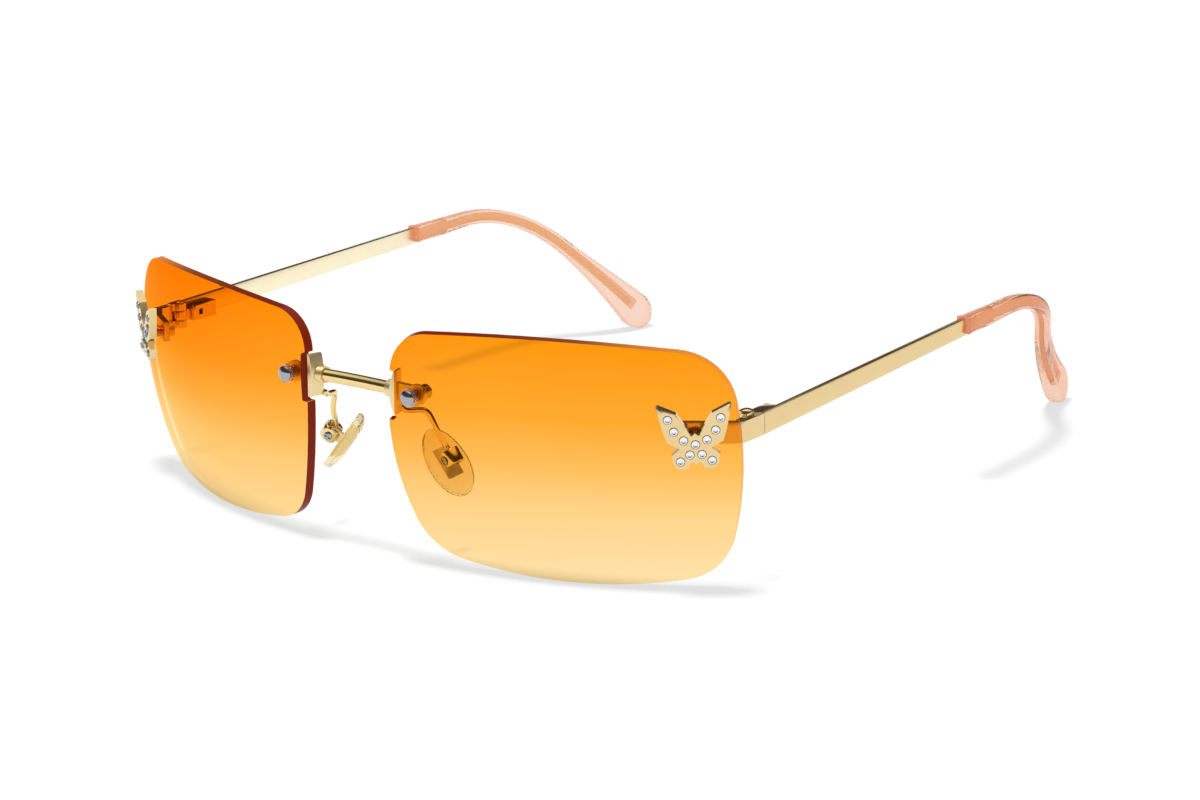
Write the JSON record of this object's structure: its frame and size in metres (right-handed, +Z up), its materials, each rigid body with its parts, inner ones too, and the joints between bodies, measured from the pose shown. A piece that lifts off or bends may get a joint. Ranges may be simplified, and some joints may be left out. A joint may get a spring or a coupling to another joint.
{
  "type": "rimless sunglasses",
  "caption": "Rimless rectangular sunglasses with butterfly charms, sprung folding temples, clear sleeves over the ears and rocking nose pads.",
  "frame": {"origin": "centre of the footprint, on the table that the lower lens edges and the temple tips stand on", "axes": "+X to the wearer's left, +Y back along the temples, +Z up"},
  "size_m": [0.1306, 0.1602, 0.0422],
  "materials": {
    "lens_tint": "tinted polycarbonate, orange at the top fading to pale peach, polished",
    "polished_gold": "gold plated, polished",
    "satin_gold": "pale gold plated, satin",
    "steel": "polished screw steel",
    "clear_plastic": "clear nylon",
    "soft_pad": "clear yellowish silicone",
    "stone": "clear cut glass",
    "tip_acetate": "translucent peach acetate, polished"
  },
  "bodies": {
    "front": {"bridge_bar": "polished_gold", "lens_left": "lens_tint", "lens_right": "lens_tint", "bridge_mount_left": "satin_gold", "bridge_mount_right": "satin_gold", "lens_bushing_left": "clear_plastic", "lens_bushing_right": "clear_plastic", "lens_screw_left": "steel", "lens_screw_right": "steel", "lens_nut_left": "polished_gold", "lens_nut_right": "polished_gold", "pad_arm_left": "polished_gold", "pad_arm_right": "polished_gold", "pad_clamp_left": "polished_gold", "pad_clamp_right": "polished_gold", "pad_screw_left": "steel", "pad_screw_right": "steel", "butterfly_left": "satin_gold", "butterfly_right": "satin_gold", "rhinestones_left": "stone", "rhinestones_right": "stone", "charm_bushing_left": "clear_plastic", "charm_bushing_right": "clear_plastic", "charm_nut_left": "polished_gold", "charm_nut_right": "polished_gold", "endpiece_left": "satin_gold", "endpiece_right": "satin_gold", "hinge_fork_left": "polished_gold", "hinge_fork_right": "polished_gold", "hinge_screw_left": "steel", "hinge_screw_right": "steel"},
    "hinge_link_left": {"hinge_tang_left": "polished_gold", "hinge_spring_left": "steel"},
    "temple_arm_left": {"spring_box_left": "polished_gold", "temple_left": "satin_gold", "temple_tip_left": "tip_acetate"},
    "pad_left": {"pad_insert_left": "polished_gold", "nose_pad_left": "soft_pad"},
    "hinge_link_right": {"hinge_tang_right": "polished_gold", "hinge_spring_right": "steel"},
    "temple_arm_right": {"spring_box_right": "polished_gold", "temple_right": "satin_gold", "temple_tip_right": "tip_acetate"},
    "pad_right": {"pad_insert_right": "polished_gold", "nose_pad_right": "soft_pad"}
  },
  "joints": [
    {"name": "fold_left", "type": "hinge", "parent": "front", "child": "hinge_link_left", "pos_m": [0.06236, -0.05259, 0.02752], "axis": [0, 0, 1], "range_deg": [0, 85]},
    {"name": "fold_right", "type": "hinge", "parent": "front", "child": "hinge_link_right", "pos_m": [-0.06236, -0.05259, 0.02752], "axis": [0, 0, -1], "range_deg": [0, 68]},
    {"name": "flex_left", "type": "slide", "parent": "hinge_link_left", "child": "temple_arm_left", "axis": [-0.0157, 0.9999, 0], "range_m": [0, 0.0008], "stiffness_N_per_m": 600, "springref_m": -0.001},
    {"name": "flex_right", "type": "slide", "parent": "hinge_link_right", "child": "temple_arm_right", "axis": [0.0157, 0.9999, 0], "range_m": [0, 0.0008], "stiffness_N_per_m": 600, "springref_m": -0.001},
    {"name": "rock_left", "type": "hinge", "parent": "front", "child": "pad_left", "pos_m": [0.01333, -0.06771, 0.01702], "axis": [0.3033, 0.9219, 0.2412], "range_deg": [-8, 8]},
    {"name": "rock_right", "type": "hinge", "parent": "front", "child": "pad_right", "pos_m": [-0.01333, -0.06771, 0.01702], "axis": [-0.3033, 0.9219, 0.2412], "range_deg": [-8, 8]}
  ]
}
